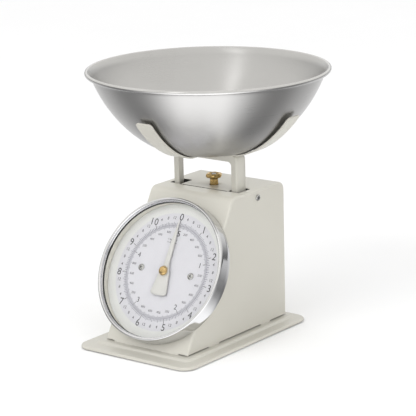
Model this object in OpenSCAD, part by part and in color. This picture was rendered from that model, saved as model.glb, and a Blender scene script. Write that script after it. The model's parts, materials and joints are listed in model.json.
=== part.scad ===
// Dial kitchen scale with a lift-off steel bowl.
// Axes: X to the right of someone facing the dial, Y to the back, Z up. Millimetres.
// Origin: centre of the overall footprint, at the level of the feet.

/* [Base] */
// Width of the base plate
plate_w = 143; // [120:1:170]
// Depth of the base plate
plate_d = 208; // [180:1:230]
// Corner radius of the base plate
plate_r = 14; // [8:0.5:20]
// Sheet thickness of the base plate
plate_t = 1.2; // [0.8:0.1:2]
// Height of the rim of the plate above the table
rim_z = 4.1; // [3.5:0.1:6]
// Height of the raised middle above the table
deck_z = 6.4; // [5:0.1:9]
// Distance from the plate edge to the raised middle at the sides
deck_in = 12.5; // [9:0.5:18]
// Radius of each rubber foot
foot_r = 8; // [5:0.5:11]

/* [Housing] */
// Outside width of the housing
house_w = 104.3; // [90:0.1:120]
// Height of the flat top above the table
house_h = 150.7; // [130:0.1:170]
// Front face at the deck, measured back from the origin
front_y = -106.7; // [-115:0.1:-95]
// Front edge of the top before rounding
brow_y = -25.7; // [-40:0.1:-10]
// Flat back of the housing
back_y = 62.9; // [55:0.1:70]
// Sheet thickness of the housing
skin_t = 1; // [0.7:0.1:1.5]
// Bend radius at the top edges
bend_r = 9; // [6:0.5:14]
// Line where the front sheet meets the rear sheet on the top
seam_y = -5.1; // [-8:0.1:-4]

/* [Dial] */
// Height of the dial centre, measured on the front face
dial_z = 75.4; // [70:0.1:85]
// Outside radius of the bezel
bezel_r = 74.5; // [68:0.1:80]
// How far the bezel stands out from the front face
bezel_h = 17.7; // [12:0.1:22]
// Radius of the visible glass
glass_r = 70.4; // [62:0.1:72]
// Level of the dial face above the front face
face_h = 3.5; // [3:0.1:5]
// Distance of each dial screw from the centre
dial_screw_x = 31.4; // [26:0.1:36]
// Length of the pointer from its centre to the tip
pointer_l = 55; // [45:0.5:60]

/* [Cradle] */
// Outside half width over the two legs
leg_x = 40.4; // [36:0.1:42]
// Width of the front flange of a leg
leg_flange = 6.9; // [5:0.1:9]
// Front face of the legs
leg_y = -3.2; // [-4:0.1:-2]
// Depth of the legs
leg_d = 15.3; // [12:0.1:16]
// Sheet thickness of the cradle
cradle_t = 1.2; // [1:0.1:2]
// Top of the cradle bridge
bridge_z = 188; // [180:0.5:195]
// Width of the bowl arms
arm_w = 20; // [14:0.5:26]

/* [Bowl] */
// Outside radius over the rolled rim
bowl_r = 125; // [110:1:140]
// Radius of the flat bottom of the bowl
bowl_flat_r = 37; // [20:1:50]
// Height of the middle of the rolled rim above the table
bowl_rim_z = 272.4; // [260:0.1:285]
// Wall thickness of the bowl
bowl_t = 0.7; // [0.6:0.1:1.5]
// Centre of the bowl, back from the origin
bowl_y = 6; // [0:0.5:10]

/* [Mechanism] */
// Travel of the cradle at full load
travel = 16.437; // [12:0.001:20]
// Number of pinion teeth
pinion_teeth = 12; // [10:1:20]
// Gear module of rack and pinion
gear_m = 0.5; // [0.4:0.05:0.8]
// Turns in each spring
spring_turns = 18; // [12:1:26]
// Distance of each spring from the middle
spring_x = 16; // [12:0.5:22]
// Back position of the zero screw and springs
screw_y = 12; // [10:0.5:14]
// Length of the check links between pivots
link_l = 52; // [45:1:54]

/* [View] */
// Sub-part to draw

/* [Hidden] */
$fn = 96;
e = 0.01;
slope = atan((brow_y - front_y) / (house_h - deck_z));
dial_y = front_y + (dial_z - deck_z) * tan(slope);
plate_y = -131 + plate_d / 2;
deck_w = plate_w - 2 * deck_in;
deck_d = plate_d - 26;
side_x = house_w / 2;
side_t = 1.25;
wrap_x = side_x - side_t;
frame_x = 46;
frame_t = 1.2;
frame_top_z = 149.4;
slot_x0 = 31;
slot_x1 = 43.5;
slot_y1 = 14;
pitch_r = gear_m * pinion_teeth / 2;
pitch_p = PI * gear_m;
gear_w = -24;
rack_pin_v = 28;
half_travel = travel / 2;
link_y = 3;
link_back_y = link_y + link_l;
link_tilt = atan(half_travel / link_l);
link_top_z = 132;
link_low_z = 48;
arm_t = 1.5;
bowl_z = bridge_z + arm_t;
beam_z = 40;
hang_z = 136;
pin_y = dial_y + rack_pin_v * sin(slope) - gear_w * cos(slope);
pin_z = dial_z + rack_pin_v * cos(slope) + gear_w * sin(slope);

// ---------- helpers ----------

// Rectangle with round corners, centred
module round_rect(w, d, r) {
  square([w - 2 * r, d], center = true);
  square([w, d - 2 * r], center = true);
  for (i = [-1, 1])
    for (j = [-1, 1])
      translate([i * (w / 2 - r), j * (d / 2 - r)])
        circle(r);
}

// Solid from z0 to z1
module slab(z0, z1) {
  translate([0, 0, z0])
    linear_extrude(z1 - z0)
      children();
}

// Cylinder from z0 to z1
module rod(r, z0, z1) {
  translate([0, 0, z0])
    cylinder(r = r, h = z1 - z0);
}

// Solid between two X positions, drawn in the Y-Z plane
module across(x0, x1) {
  translate([x0, 0, 0])
    rotate([90, 0, 90])
      linear_extrude(x1 - x0)
        children();
}

// Cylinder along X
module rod_x(r, x0, x1) {
  translate([x0, 0, 0])
    rotate([0, 90, 0])
      cylinder(r = r, h = x1 - x0);
}

// Box from one corner to the opposite one
module span(a, b) {
  translate(a)
    cube(b - a);
}

// Dial axes: X across, Y up the slope, Z out of the front face
module on_dial() {
  translate([0, dial_y, dial_z])
    rotate([90 - slope, 0, 0])
      children();
}

// Both sides, mirrored in X
module both() {
  children();
  mirror([1, 0, 0])
    children();
}

// ---------- base ----------

module plate_outline(inset) {
  translate([0, plate_y])
    round_rect(plate_w - 2 * inset, plate_d - 2 * inset, plate_r - inset);
}

module deck_outline(inset) {
  translate([0, -23.5])
    round_rect(deck_w - 2 * inset, deck_d - 2 * inset, 6 - inset);
}

module foot_spots() {
  for (x = [-48, 48])
    for (y = [-101, 54])
      translate([x, y, 0])
        children();
}

module base_plate() {
  color([0.83, 0.82, 0.77])
    difference() {
      union() {
        difference() {
          slab(0.9, rim_z)
            plate_outline(0);
          slab(0, rim_z - plate_t)
            plate_outline(plate_t);
          slab(0, deck_z + 1)
            deck_outline(plate_t);
        }
        difference() {
          slab(rim_z - plate_t, deck_z)
            deck_outline(0);
          slab(0, deck_z - plate_t)
            deck_outline(plate_t);
        }
      }
      foot_spots()
        rod(2.2, 0, 10);
      frame_screw_spots()
        rod(2, 0, 10);
    }
}

module feet() {
  color([0.08, 0.08, 0.08])
    foot_spots()
      difference() {
        union() {
          rod(foot_r, 0, 3.4);
          rod(foot_r - 1.2, 3.4, deck_z - plate_t);
        }
        rod(4.6, -1, 1.6);
        rod(2.2, -1, 10);
      }
}

module foot_rivets() {
  color([0.62, 0.62, 0.62])
    foot_spots() {
      rod(4, 0.6, 1.6);
      rod(2.1, 1.5, deck_z);
    }
}

// ---------- housing ----------

// Solid profile of the housing in the Y-Z plane, moved in by t
module house_profile(t) {
  cz = house_h - bend_r;
  fy = front_y + (cz - deck_z) * tan(slope) + bend_r / cos(slope);
  by = back_y - bend_r;
  r = bend_r - t;
  translate([fy, cz])
    circle(r);
  translate([by, cz])
    circle(r);
  polygon([
    [fy, house_h - t],
    [by, house_h - t],
    [by, cz],
    [back_y - t, cz],
    [back_y - t, 0],
    [front_y - deck_z * tan(slope) + t / cos(slope), 0],
    [fy - r * cos(slope), cz + r * sin(slope)],
    [fy, cz]
  ]);
}

module skin_ring() {
  difference() {
    house_profile(0);
    house_profile(skin_t);
  }
}

module front_panel() {
  color([0.84, 0.83, 0.78])
    difference() {
      union() {
        across(-wrap_x, wrap_x)
          intersection() {
            skin_ring();
            polygon([[-200, 7.6], [seam_y - 24, 7.6], [seam_y - 24, 120], [seam_y, 120],
              [seam_y, 200], [-200, 200]]);
          }
        across(-41, 41)
          intersection() {
            skin_ring();
            polygon([[-200, deck_z], [-60, deck_z], [-60, 8], [-200, 8]]);
          }
      }
      on_dial() {
        rod(6, -5, 5);
        both()
          translate([dial_screw_x, 0, 0])
            rod(2.15, -5, 5);
      }
    }
}

module leg_slots(z0, z1) {
  both()
    span([slot_x0, seam_y, z0], [slot_x1, slot_y1, z1]);
}

module rear_cover() {
  color([0.84, 0.83, 0.78])
    difference() {
      across(-wrap_x, wrap_x)
        intersection() {
          skin_ring();
          polygon([[seam_y + 0.3, 140], [seam_y + 0.3, 200], [200, 200], [200, 7.6],
            [30, 7.6], [30, 140]]);
        }
      leg_slots(140, 160);
      translate([0, screw_y, 0])
        rod(4.9, 140, 160);
    }
}

module side_panel() {
  difference() {
    across(wrap_x, side_x)
      difference() {
        house_profile(0);
        polygon([[-200, -10], [200, -10], [200, deck_z], [-200, deck_z]]);
        for (g = [[-200, -70.6], [-54, 18], [34, 200]])
          polygon([[g[0], 0], [g[1], 0], [g[1], 7.6], [g[0], 7.6]]);
      }
    translate([0, 15.9, 142.5])
      rod_x(2.1, 40, 60);
  }
}

module side_left() {
  color([0.83, 0.82, 0.77])
    mirror([1, 0, 0])
      side_panel();
}

module side_right() {
  color([0.83, 0.82, 0.77])
    side_panel();
}

module side_screws() {
  color([0.7, 0.7, 0.7])
    both()
      translate([0, 15.9, 142.5]) {
        rod_x(2, 44, side_x + 0.5);
        difference() {
          union() {
            rod_x(3.3, side_x, side_x + 1.1);
            rod_x(2.5, side_x + 1.1, side_x + 1.9);
          }
          span([side_x + 1, -4, -0.5], [side_x + 3, 4, 0.5]);
        }
      }
}

// ---------- inner frame ----------

module frame_screw_spots() {
  both()
    for (y = [-70, 35])
      translate([41, y, 0])
        children();
}

module cheek() {
  difference() {
    union() {
      across(frame_x, frame_x + frame_t)
        polygon([
          [-101 + 1.2 * tan(slope), deck_z],
          [58.5, deck_z],
          [58.5, 148.2],
          [-101 + (148.2 - deck_z) * tan(slope), 148.2]
        ]);
      span([36, -86, deck_z], [frame_x + e, 50, deck_z + frame_t]);
    }
    translate([0, link_back_y, link_top_z - half_travel])
      rod_x(2, 40, 60);
    translate([0, link_back_y, link_low_z - half_travel])
      rod_x(2, 40, 60);
    translate([0, 15.9, 142.5])
      rod_x(2, 40, 60);
    frame_screw_spots()
      rod(2, 0, 20);
  }
}

module cheek_left() {
  color([0.66, 0.67, 0.68])
    mirror([1, 0, 0])
      cheek();
}

module cheek_right() {
  color([0.66, 0.67, 0.68])
    cheek();
}

module frame_top() {
  color([0.66, 0.67, 0.68])
    difference() {
      union() {
        span([-frame_x, seam_y - 5, frame_top_z - frame_t], [frame_x, 42, frame_top_z]);
        both()
          span([frame_x - frame_t, seam_y - 5, 138], [frame_x, 42, frame_top_z]);
      }
      leg_slots(136, 160);
      translate([0, screw_y, 0])
        rod(2.7, 130, 160);
      both()
        translate([0, 15.9, 142.5])
          rod_x(2, 40, 50);
    }
}

module frame_screws() {
  color([0.6, 0.6, 0.6])
    frame_screw_spots() {
      rod(1.95, 4.2, 9.4);
      rod(3.6, 3.6, deck_z - plate_t);
    }
}

module link_rods() {
  color([0.72, 0.72, 0.72])
    for (z = [link_top_z, link_low_z])
      translate([0, link_back_y, z - half_travel]) {
        rod_x(2, -48.6, 48.6);
        rod_x(3, 47.2, 48.2);
        rod_x(3, -48.2, -47.2);
      }
}

module movement_plate() {
  color([0.7, 0.68, 0.6])
    on_dial()
      difference() {
        union() {
          span([-frame_x, -28, -8], [frame_x, 26, -6.5]);
          both()
            span([frame_x - frame_t, -28, -20], [frame_x, 26, -6.5]);
        }
        rod(3.2, -20, 5);
        both()
          translate([dial_screw_x, 0, 0])
            rod(2, -20, 5);
        pillar_spots()
          rod(1.6, -20, 5);
      }
}

module pillar_spots() {
  for (x = [-12, 16])
    for (y = [-10, 1])
      translate([x, y, 0])
        children();
}

module movement_bridge() {
  color([0.7, 0.68, 0.6])
    on_dial()
      difference() {
        span([-16, -14, -31], [20, 5, -29.8]);
        rod(2.6, -40, 0);
        pillar_spots()
          rod(1.6, -40, 0);
      }
}

module movement_pillars() {
  color([0.78, 0.66, 0.36])
    on_dial()
      pillar_spots() {
        rod(2.5, -29.8, -8);
        rod(1.6, -32, -6);
      }
}

module rack_guide() {
  color([0.78, 0.66, 0.36])
    on_dial()
      difference() {
        span([5, -12, -29.8], [9.5, 4, -21.3]);
        span([0, -20, gear_w - 1.6], [8.1, 10, gear_w + 1.6]);
      }
}

module spindle_bushes() {
  color([0.8, 0.62, 0.28])
    on_dial()
      difference() {
        union() {
          rod(3.2, -9.5, -5);
          rod(4.6, -6.5, -5.3);
          rod(2.6, -32.2, -28.4);
          rod(3.6, -29.8, -28.8);
        }
        rod(1.66, -40, 5);
      }
}

// ---------- dial ----------

module dial_pan() {
  color([0.88, 0.87, 0.84])
    on_dial()
      difference() {
        rod(bezel_r - 1.7, 0.03, 11.2);
        rod(bezel_r - 2.9, 2.3, 20);
        rod(66, 1, 20);
        rod(6, -5, 5);
        both()
          translate([dial_screw_x, 0, 0])
            rod(2.15, -5, 5);
      }
}

module dial_plate() {
  color([0.93, 0.92, 0.95])
    on_dial()
      difference() {
        rod(bezel_r - 3.1, 2.3, face_h);
        rod(2.6, 0, 10);
        both()
          translate([dial_screw_x, 0, 0])
            rod(2.15, -5, 5);
      }
}

module dial_screws() {
  color([0.72, 0.72, 0.72])
    on_dial()
      both()
        translate([dial_screw_x, 0, 0])
          difference() {
            union() {
              rod(2, -9.5, face_h + 0.5);
              rod(3.6, face_h, face_h + 0.9);
              rod(2.8, face_h + 0.9, face_h + 1.6);
            }
            span([-4, -0.5, face_h + 0.8], [4, 0.5, face_h + 3]);
          }
}

module dial_gasket() {
  color([0.1, 0.1, 0.1])
    on_dial()
      difference() {
        rod(bezel_r - 1.7, 11.2, 12.1);
        rod(bezel_r - 5, 0, 20);
      }
}

module lens() {
  color([0.85, 0.92, 0.95, 0.25])
    on_dial()
      rod(bezel_r - 1.7, 12.1, 14.1);
}

module bezel() {
  bead = (bezel_h - 14.1) / 2;
  color([0.8, 0.8, 0.82])
    on_dial()
      rotate_extrude($fn = 180) {
        translate([bezel_r - 1.4, 1])
          square([1.4, 14.9]);
        translate([bezel_r - 0.3 - bead, 14.1 + bead])
          circle(bead, $fn = 40);
        translate([glass_r + bead, 14.1 + bead])
          circle(bead, $fn = 40);
        translate([glass_r + bead, 14.1])
          square([bezel_r - glass_r - 0.3 - 2 * bead, 2 * bead]);
      }
}

// ---------- cradle and bowl ----------

// Outside of the bowl: radius and height for a position 0..1 from bottom to rim
function bowl_out_r(t) = bowl_flat_r + (127 - bowl_flat_r) * pow(sin(90 * t), 1.22);
function bowl_out_z(t) = 309.7 - (309.7 - bowl_z) * pow(cos(90 * t), 1.09);
bowl_steps = 30;
bowl_end = 0.766;
function bowl_pt(i) = [bowl_out_r(i * bowl_end / bowl_steps), bowl_out_z(i * bowl_end / bowl_steps)];
// Unit normal pointing out of the bowl
function bowl_nrm(i) =
  let (a = bowl_pt(max(i - 0.5, 0)), b = bowl_pt(i + 0.5), l = norm(b - a))
  [(b[1] - a[1]) / l, -(b[0] - a[0]) / l];

module cradle_outline() {
  translate([0, bridge_z - 100])
    square([2 * leg_x - 12, 200], center = true);
  translate([0, bridge_z - 106])
    square([2 * leg_x, 200], center = true);
  for (i = [-1, 1])
    translate([i * (leg_x - 6), bridge_z - 6])
      circle(6);
}

// Opening between the legs seen from the front
module cradle_gap() {
  g = leg_x - leg_flange;
  translate([0, 177 - 100])
    square([2 * g, 200 - 1], center = true);
  translate([0, 180.8 - 100])
    square([2 * (g - 4), 200], center = true);
  for (i = [-1, 1])
    translate([i * (g - 4.3), 180.8 - 4.3])
      circle(4.3);
}

module cradle() {
  color([0.84, 0.83, 0.78])
    difference() {
      translate([0, leg_y + leg_d, 0])
        rotate([90, 0, 0])
          linear_extrude(leg_d)
            cradle_outline();
      translate([0, 30, 0])
        rotate([90, 0, 0])
          linear_extrude(30 - leg_y - cradle_t)
            union() {
              translate([0, bridge_z - 106])
                square([2 * (leg_x - cradle_t), 200], center = true);
              translate([0, bridge_z - 100 - cradle_t])
                square([2 * leg_x - 12, 200], center = true);
              for (i = [-1, 1])
                translate([i * (leg_x - 6), bridge_z - 6])
                  circle(6 - cradle_t);
            }
      translate([0, 40, 0])
        rotate([90, 0, 0])
          linear_extrude(80)
            cradle_gap();
      span([-60, -20, -120], [60, 40, 26]);
      both()
        for (z = [link_low_z, link_top_z])
          translate([0, link_y, z])
            rod_x(2, 30, 60);
      both()
        carriage_rivet_spots()
          rotate([90, 0, 0])
            cylinder(r = 1.5, h = 20, center = true);
      for (x = [-12, 12])
        translate([x, 6, 0])
          rod(1.6, 180, 200);
    }
}

// Points along an arm, o outside its inner face, from the flat middle to the tip
arm_n = 22;
function arm_gap(i) = 0.5 + 2.6 * pow(i / arm_n, 2);
function arm_line(o) = concat(
  [[0, bowl_z - o], [bowl_flat_r + 4.5, bowl_z - o]],
  [for (i = [4 : arm_n]) bowl_pt(i) + bowl_nrm(i) * (arm_gap(i) + o)]);
function backwards(v) = [for (i = [len(v) - 1 : -1 : 0]) v[i]];

module arm_profile() {
  polygon(concat(arm_line(0), backwards(arm_line(arm_t))));
}

module cradle_arms() {
  color([0.84, 0.83, 0.78])
    difference() {
      translate([0, bowl_y, 0])
        for (a = [0 : 90 : 270])
          rotate([90, 0, a])
            translate([0, 0, -arm_w / 2])
              linear_extrude(arm_w)
                arm_profile();
      for (x = [-12, 12])
        translate([x, 6, 0])
          rod(1.6, 180, 200);
    }
}

module arm_rivets() {
  color([0.8, 0.79, 0.74])
    for (x = [-12, 12])
      translate([x, 6, 0]) {
        rod(1.6, bridge_z - 2.2, bowl_z);
        rod(2.8, bridge_z - cradle_t - 1, bridge_z - cradle_t);
      }
}

module carriage_rivet_spots() {
  for (z = [30, 36, 82, 94])
    translate([37, leg_y, z])
      children();
}

module cross_plate() {
  color([0.66, 0.67, 0.68])
    difference() {
      span([-leg_x, leg_y - 1.2, 78], [leg_x, leg_y, 98]);
      both()
        carriage_rivet_spots()
          rotate([90, 0, 0])
            cylinder(r = 1.5, h = 20, center = true);
    }
}

module spring_beam() {
  color([0.66, 0.67, 0.68])
    difference() {
      union() {
        span([-leg_x, leg_y - 1.2, 26], [leg_x, leg_y, beam_z]);
        span([-31, leg_y - 1.2, beam_z - 1.2], [31, 20, beam_z]);
      }
      both() {
        carriage_rivet_spots()
          rotate([90, 0, 0])
            cylinder(r = 1.5, h = 20, center = true);
        translate([spring_x, screw_y, 0])
          rod(1.3, 30, 50);
      }
    }
}

module drive_arm() {
  y0 = pin_y - travel * tan(slope);
  color([0.66, 0.67, 0.68])
    difference() {
      union() {
        span([10, y0 - 4, pin_z - 5], [11.2, leg_y - 1.2, pin_z + 5]);
        span([10, leg_y - 2.4, 80], [24, leg_y - 1.2, 96]);
      }
      translate([0, y0, pin_z])
        rod_x(1.56, 5, 20);
      translate([0, pin_y, pin_z])
        rod_x(1.56, 5, 20);
      span([5, y0, pin_z - 1.56], [20, pin_y, pin_z + 1.56]);
    }
}

module carriage_rivets() {
  color([0.6, 0.6, 0.6])
    both()
      carriage_rivet_spots()
        rotate([90, 0, 0]) {
          rod(1.45, -1.9, 2);
          rod(2.4, 1.2, 2.2);
          rod(2.2, -2.1, -1.2);
        }
}

module leg_pins() {
  color([0.72, 0.72, 0.72])
    both()
      for (z = [link_low_z, link_top_z])
        translate([0, link_y, z]) {
          rod_x(3, leg_x - 2.2, leg_x - 1.2);
          rod_x(2, leg_x - 1.3, 44.6);
          rod_x(2.9, 43.6, 44.6);
        }
}

module bowl() {
  n = bowl_steps;
  outer = [for (i = [0 : n]) bowl_pt(i)];
  inner = [for (i = [n : -1 : 1]) bowl_pt(i) - bowl_nrm(i) * bowl_t];
  bead = 2.2;
  color([0.78, 0.78, 0.8])
    translate([0, bowl_y, 0])
      rotate_extrude($fn = 180) {
        polygon(concat([[0, bowl_z]], outer, inner,
          [[bowl_flat_r, bowl_z + bowl_t], [0, bowl_z + bowl_t]]));
        translate([bowl_r - bead, bowl_rim_z - 1.3])
          circle(bead, $fn = 32);
        polygon([bowl_pt(n) - [1, 1.5], bowl_pt(n) - [0, 1.5], [bowl_r - bead, bowl_rim_z - 1],
          [bowl_r - bead, bowl_rim_z + 0.9], [bowl_pt(n)[0] - 0.9, bowl_rim_z + 0.3]]);
      }
}

// ---------- mechanism ----------

module check_link(z) {
  translate([0, link_back_y, z - half_travel])
    rotate([-link_tilt, 0, 0]) {
      both()
        difference() {
          across(42, 43.2) {
            circle(4.6);
            translate([-link_l, -4])
              square([link_l, 8]);
            translate([-link_l - 0.3, 0])
              circle(4.2);
          }
          rod_x(2.06, 40, 50);
          translate([0, -link_l - 0.75, 0])
            rod_x(2.06, 40, 50);
          translate([0, -link_l + 0.15, 0])
            rod_x(2.06, 40, 50);
          span([40, -link_l - 0.75, -2.06], [50, -link_l + 0.15, 2.06]);
        }
      difference() {
        rod_x(3.6, -42.1, 42.1);
        rod_x(2.06, -50, 50);
      }
    }
}

module upper_link() {
  color([0.7, 0.7, 0.72])
    check_link(link_top_z);
}

module lower_link() {
  color([0.7, 0.7, 0.72])
    check_link(link_low_z);
}

module rack() {
  n0 = -5;
  n1 = 14;
  color([0.8, 0.66, 0.34])
    on_dial()
      difference() {
        union() {
          span([pitch_r + 1.25 * gear_m, -9, gear_w - 1.5], [8, 31, gear_w + 1.5]);
          for (i = [n0 : n1])
            translate([pitch_r, (i + 0.5) * pitch_p, gear_w - 1.5])
              linear_extrude(3)
                polygon([
                  [-gear_m, -0.12 * pitch_p],
                  [1.3 * gear_m, -0.26 * pitch_p],
                  [1.3 * gear_m, 0.26 * pitch_p],
                  [-gear_m, 0.12 * pitch_p]
                ]);
        }
        translate([0, rack_pin_v, gear_w])
          rod_x(1.2, 0, 20);
      }
}

module rack_pin() {
  color([0.75, 0.75, 0.75])
    on_dial()
      translate([0, rack_pin_v, gear_w]) {
        rod_x(1.2, 4, 8.1);
        rod_x(1.5, 8, 12.4);
        rod_x(2.2, 11.6, 12.6);
      }
}

module pinion() {
  root = pitch_r - 1.25 * gear_m;
  color([0.8, 0.66, 0.34])
    on_dial()
      difference() {
        slab(gear_w - 3, gear_w + 3) {
          circle(root);
          for (i = [0 : pinion_teeth - 1])
            rotate(i * 360 / pinion_teeth)
              polygon([
                [root - 0.4, -0.29 * pitch_p],
                [root, -0.28 * pitch_p],
                [pitch_r, -0.19 * pitch_p],
                [pitch_r + gear_m, -0.07 * pitch_p],
                [pitch_r + gear_m, 0.07 * pitch_p],
                [pitch_r, 0.19 * pitch_p],
                [root, 0.28 * pitch_p],
                [root - 0.4, 0.29 * pitch_p]
              ]);
        }
        rod(1.6, -40, 0);
      }
}

module spindle() {
  color([0.72, 0.72, 0.72])
    on_dial()
      rod(1.6, -33, 10.4);
}

module pointer() {
  color([0.86, 0.83, 0.7])
    on_dial()
      difference() {
        union() {
          rod(4.6, 5.6, 7.4);
          slab(6, 6.9)
            polygon([
              [-0.3, pointer_l],
              [-2.2, 0.6 * pointer_l],
              [-2.9, 8],
              [-5.9, 0],
              [-10, -22],
              [-9.4, -24.2],
              [-7.5, -25],
              [7.5, -25],
              [9.4, -24.2],
              [10, -22],
              [5.9, 0],
              [2.9, 8],
              [2.2, 0.6 * pointer_l],
              [0.3, pointer_l]
            ]);
        }
        rod(1.6, 0, 20);
      }
}

module pointer_nut() {
  color([0.72, 0.58, 0.3])
    on_dial()
      difference() {
        union() {
          rod(5, 7.4, 8.4);
          intersection() {
            translate([0, 0, 11.3 - 6])
              sphere(6);
            rod(5, 8.3, 12);
          }
        }
        rod(1.6, 0, 10.4);
      }
}

module zero_knob() {
  color([0.78, 0.62, 0.26])
    translate([0, screw_y, 0])
      difference() {
        union() {
          rod(4.1, frame_top_z, 157);
          rod(6.2, 156.6, 162.3);
          for (i = [0 : 5])
            rotate(i * 60)
              translate([5.6, 0, 0])
                rod(3.1, 156.6, 162.3);
        }
        rod(2.55, 140, 170);
        for (i = [0 : 15])
          rotate(i * 22.5)
            translate([4.35, 0, 0])
              rod(0.45, 150.9, 156.6);
      }
}

module hanger_bar() {
  color([0.66, 0.67, 0.68])
    difference() {
      span([-26, screw_y - 4, hang_z - 5], [26, screw_y + 4, hang_z]);
      translate([0, screw_y, 0])
        rod(2.5, 120, 170);
      both()
        translate([spring_x, screw_y, 0])
          rod(1.3, 120, 170);
    }
}

module hanger_stud() {
  color([0.5, 0.48, 0.45])
    translate([0, screw_y, 0]) {
      rod(2.5, hang_z - 6, 162.2);
      rod(4, hang_z - 7.5, hang_z - 5);
    }
}

// Centre line of a spring: straight tails on the axis and a coil between
coil_r = 6.5;
coil_z0 = 58;
coil_z1 = 116;
coil_seg = 12;
function coil_at(k) =
  let (n = spring_turns * coil_seg, u = min(max(k, 0), n), a = 360 * u / coil_seg,
    g = k < 0 ? max(0, 1 + k / 4) : k > n ? max(0, 1 - (k - n) / 4) : 1)
  [g * coil_r * cos(a + (k < 0 ? k * 22 : k > n ? (k - n) * 22 : 0)),
   g * coil_r * sin(a + (k < 0 ? k * 22 : k > n ? (k - n) * 22 : 0)),
   coil_z0 + (coil_z1 - coil_z0) * u / n + (k < 0 ? k * 0.5 : k > n ? (k - n) * 0.5 : 0)];

module spring_coil() {
  n = spring_turns * coil_seg;
  path = concat([[0, 0, beam_z - 2]], [for (k = [-4 : n + 4]) coil_at(k)], [[0, 0, hang_z + 0.8]]);
  m = len(path);
  side = 6;
  wire = 0.8;
  ring = [for (i = [0 : m - 1])
    let (a = path[max(i - 1, 0)], b = path[min(i + 1, m - 1)], d = (b - a) / norm(b - a),
      s = i > 5 && i < m - 6 ? [path[i][0], path[i][1], 0] / norm([path[i][0], path[i][1], 0])
        : [1, 0, 0],
      p = cross(d, s) / norm(cross(d, s)), q = cross(p, d))
    for (j = [0 : side - 1])
      path[i] + wire * (cos(360 * j / side) * q + sin(360 * j / side) * p)];
  polyhedron(
    points = ring,
    faces = concat(
      [[for (j = [0 : side - 1]) j]],
      [for (i = [0 : m - 2]) for (j = [0 : side - 1]) let (k = (j + 1) % side)
        [i * side + j, (i + 1) * side + j, (i + 1) * side + k, i * side + k]],
      [[for (j = [side - 1 : -1 : 0]) (m - 1) * side + j]]
    )
  );
}

module spring_unit() {
  spring_coil();
  rod(2.1, beam_z - 3.2, beam_z - 1.2);
  rod(2.1, hang_z, hang_z + 1.6);
}

module spring_left() {
  color([0.6, 0.6, 0.62])
    translate([-spring_x, screw_y, 0])
      spring_unit();
}

module spring_right() {
  color([0.6, 0.6, 0.62])
    translate([spring_x, screw_y, 0])
      spring_unit();
}

// ---------- drawing ----------

base_plate();
feet();
foot_rivets();
front_panel();
rear_cover();
side_left();
side_right();
side_screws();
cheek_left();
cheek_right();
frame_top();
frame_screws();
movement_plate();
movement_bridge();
movement_pillars();
rack_guide();
spindle_bushes();
link_rods();
dial_pan();
dial_plate();
dial_screws();
dial_gasket();
lens();
bezel();
cradle();
cradle_arms();
arm_rivets();
cross_plate();
drive_arm();
spring_beam();
carriage_rivets();
leg_pins();
bowl();
upper_link();
lower_link();
rack();
rack_pin();
pinion();
spindle();
pointer();
pointer_nut();
zero_knob();
hanger_bar();
hanger_stud();
spring_left();
spring_right();
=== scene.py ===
"""Looks of the dial kitchen scale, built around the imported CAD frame.

Metres, in the CAD frame: X to the right of someone facing the dial, Y to the back, Z up.
Shapes are typed in millimetres and scaled when a mesh becomes a piece.
"""
import json
from math import atan, atan2, cos, hypot, pi, radians, sin, sqrt, tan

import bmesh
import bpy
from mathutils import Matrix, Vector


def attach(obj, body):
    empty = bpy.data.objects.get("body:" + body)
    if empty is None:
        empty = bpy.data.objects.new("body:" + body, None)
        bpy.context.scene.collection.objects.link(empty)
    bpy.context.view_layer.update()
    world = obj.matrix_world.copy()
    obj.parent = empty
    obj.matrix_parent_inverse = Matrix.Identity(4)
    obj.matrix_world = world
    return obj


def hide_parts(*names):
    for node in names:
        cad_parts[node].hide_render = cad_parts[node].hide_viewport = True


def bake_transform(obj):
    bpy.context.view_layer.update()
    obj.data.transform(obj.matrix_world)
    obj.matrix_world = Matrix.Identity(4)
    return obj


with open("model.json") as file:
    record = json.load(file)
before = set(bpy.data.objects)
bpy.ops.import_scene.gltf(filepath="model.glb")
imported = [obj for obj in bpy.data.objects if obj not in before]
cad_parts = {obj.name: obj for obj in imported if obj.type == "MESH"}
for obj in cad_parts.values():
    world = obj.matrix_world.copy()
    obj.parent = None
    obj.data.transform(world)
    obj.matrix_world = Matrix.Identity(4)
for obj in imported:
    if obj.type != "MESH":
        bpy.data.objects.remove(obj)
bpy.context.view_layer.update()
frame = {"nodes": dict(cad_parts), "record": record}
scene = bpy.context.scene
MM = Matrix.Scale(0.001, 4)

# ---------- camera ----------

AZ, EL, ROLL = radians(37.622), radians(14.434), radians(-1.352)
across = Vector((cos(AZ), sin(AZ), 0))
back = Vector((sin(AZ) * cos(EL), -cos(AZ) * cos(EL), sin(EL)))
above = back.cross(across)
cam_x = cos(ROLL) * across + sin(ROLL) * above
cam_y = cos(ROLL) * above - sin(ROLL) * across
camera = bpy.data.objects.new("camera", bpy.data.cameras.new("camera"))
scene.collection.objects.link(camera)
camera.matrix_world = Matrix.Translation(Vector((0, 0.00078, 0.12775)) + back * 2.13444) @ Matrix(
    (cam_x, cam_y, back)).transposed().to_4x4()
camera.data.sensor_width = 36
camera.data.lens = 180.1
camera.data.clip_end = 60
scene.camera = camera
scene.view_settings.view_transform = "Standard"

# ---------- sizes shared with the CAD ----------

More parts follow.
